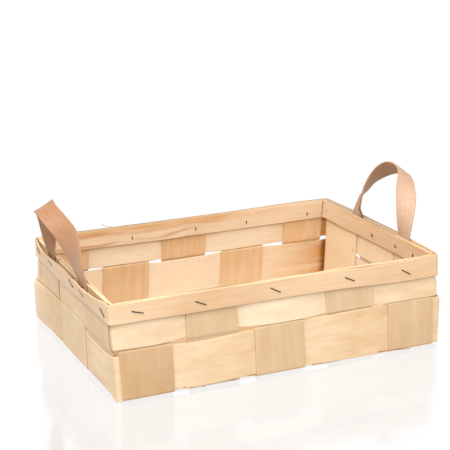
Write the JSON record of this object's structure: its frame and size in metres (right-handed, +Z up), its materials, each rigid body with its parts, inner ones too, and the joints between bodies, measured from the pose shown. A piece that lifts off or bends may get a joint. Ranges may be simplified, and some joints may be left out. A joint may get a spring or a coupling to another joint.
{
  "type": "chip basket",
  "caption": "Low rectangular basket of thin wood splints in plain weave, with stapled rim bands and a bent wood handle on each end, for holding and carrying loose goods.",
  "frame": {"origin": "middle of the underside, on the surface that the basket stands on", "axes": "+X along the basket's length to the right-hand handle, +Y to the back, +Z up"},
  "size_m": [0.4714, 0.2808, 0.1864],
  "materials": {
    "strip_splint": "bare sliced softwood splint, warm pale tan, matt, grain along the strip",
    "weaver_splint": "bare sliced softwood splint, cream, matt, grain along the band",
    "rim_wood": "bare sliced softwood band, cream to honey, matt, straight grain along the band",
    "handle_wood": "bare bent hardwood strip, pinkish tan, smooth matt with fine short pores",
    "staple_steel": "drawn steel wire, dull dark grey"
  },
  "bodies": {
    "root": {"cross_strip_1": "strip_splint", "cross_strip_2": "strip_splint", "cross_strip_3": "strip_splint", "cross_strip_4": "strip_splint", "cross_strip_5": "strip_splint", "long_strip_front": "strip_splint", "long_strip_middle": "strip_splint", "long_strip_back": "strip_splint", "lower_weaver": "weaver_splint", "upper_weaver": "weaver_splint", "outer_rim": "rim_wood", "inner_rim": "rim_wood", "handle_left": "handle_wood", "handle_right": "handle_wood", "staple_front_1": "staple_steel", "staple_front_2": "staple_steel", "staple_front_3": "staple_steel", "staple_front_4": "staple_steel", "staple_front_5": "staple_steel", "staple_right_1": "staple_steel", "staple_right_2": "staple_steel", "staple_right_3": "staple_steel", "staple_right_4": "staple_steel", "staple_right_5": "staple_steel", "staple_back_1": "staple_steel", "staple_back_2": "staple_steel", "staple_back_3": "staple_steel", "staple_back_4": "staple_steel", "staple_back_5": "staple_steel", "staple_left_1": "staple_steel", "staple_left_2": "staple_steel", "staple_left_3": "staple_steel", "staple_left_4": "staple_steel", "staple_left_5": "staple_steel"}
  },
  "joints": []
}
